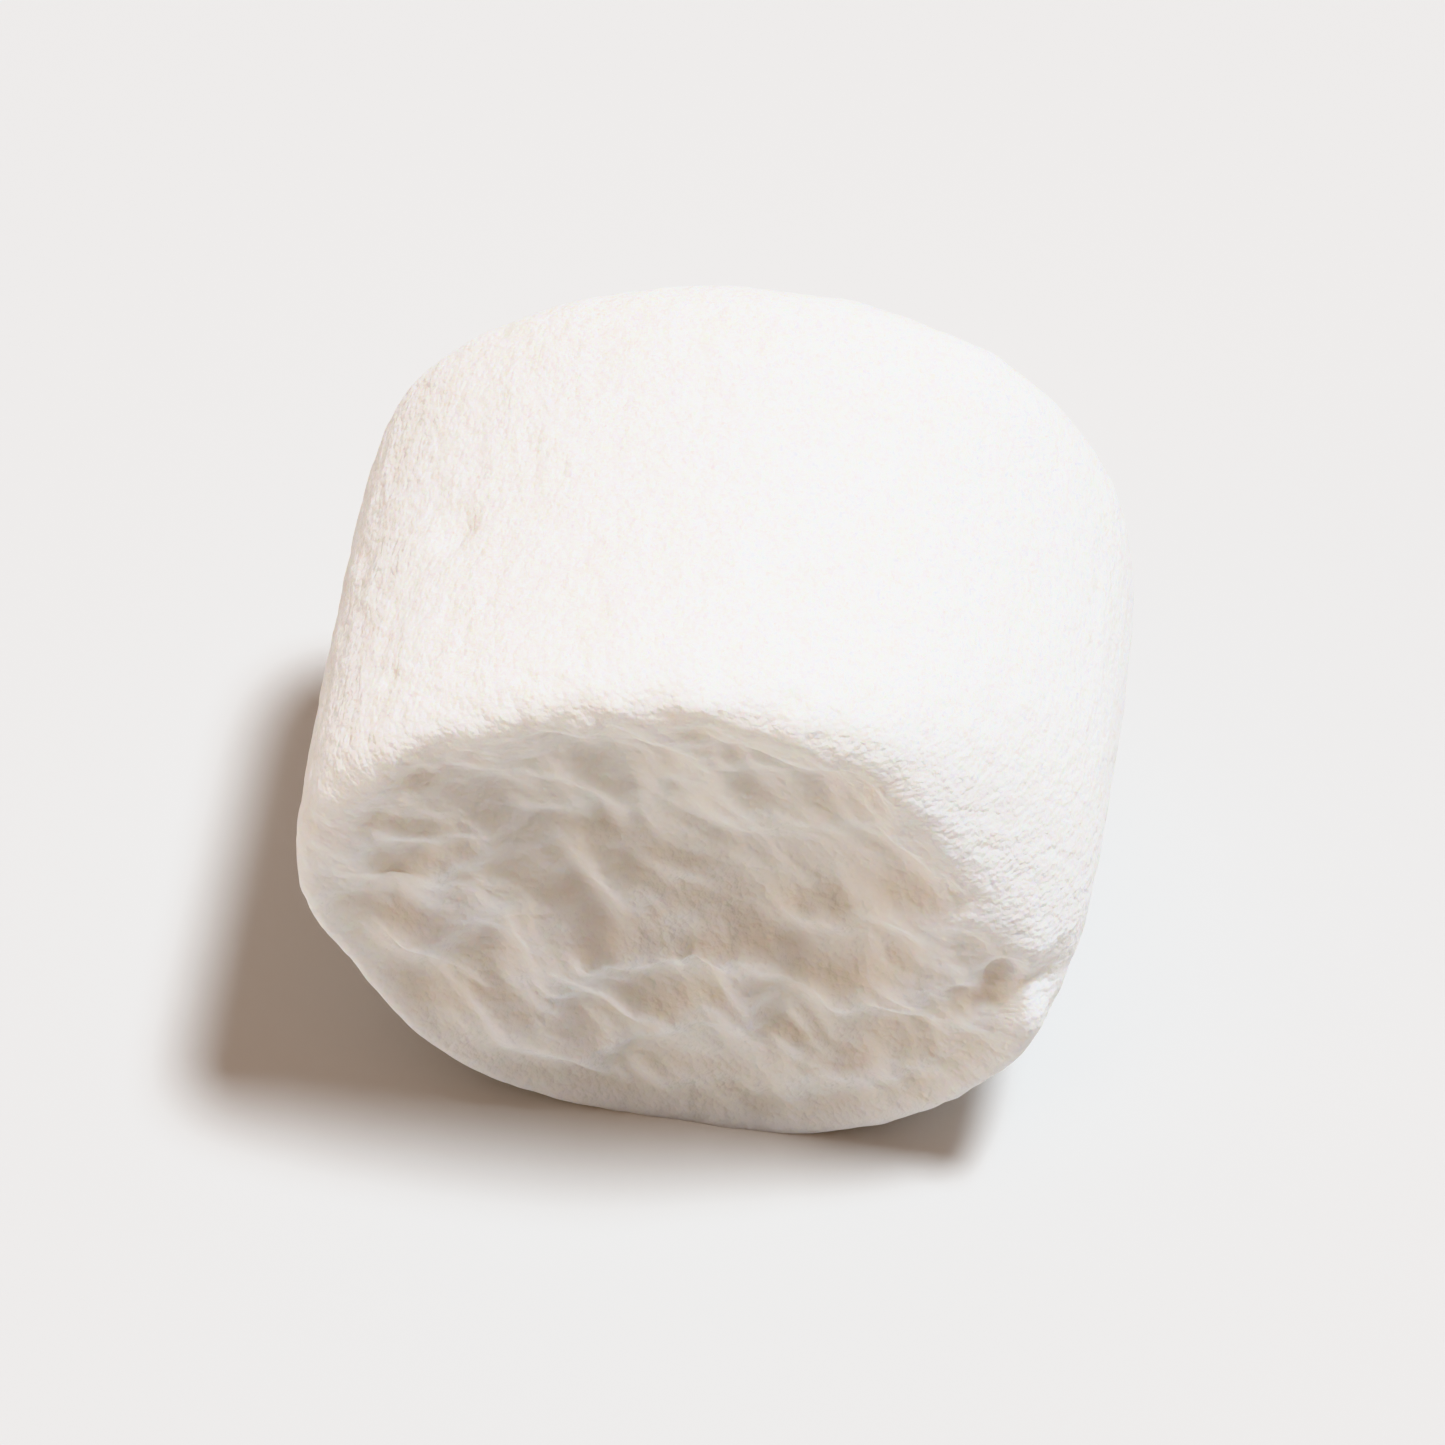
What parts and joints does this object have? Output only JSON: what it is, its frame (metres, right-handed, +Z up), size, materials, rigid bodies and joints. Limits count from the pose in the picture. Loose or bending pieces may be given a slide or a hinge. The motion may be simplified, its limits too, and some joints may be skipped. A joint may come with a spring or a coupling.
{
  "type": "mini marshmallow",
  "caption": "Mini marshmallow: a short, soft, starch-dusted white cylinder with a dished and creased end face, lying on its side.",
  "frame": {"origin": "on the surface that it lies on, under the middle of its bounding box", "axes": "+Z up; its own round axis lies along Y, with the creased end that the knife pinched facing -Y; X runs across it"},
  "size_m": [0.0126, 0.009, 0.0118],
  "materials": {
    "marshmallow_foam": "soft white sugar foam under a thin matt coat of starch"
  },
  "bodies": {
    "root": {"marshmallow": "marshmallow_foam"}
  },
  "joints": []
}
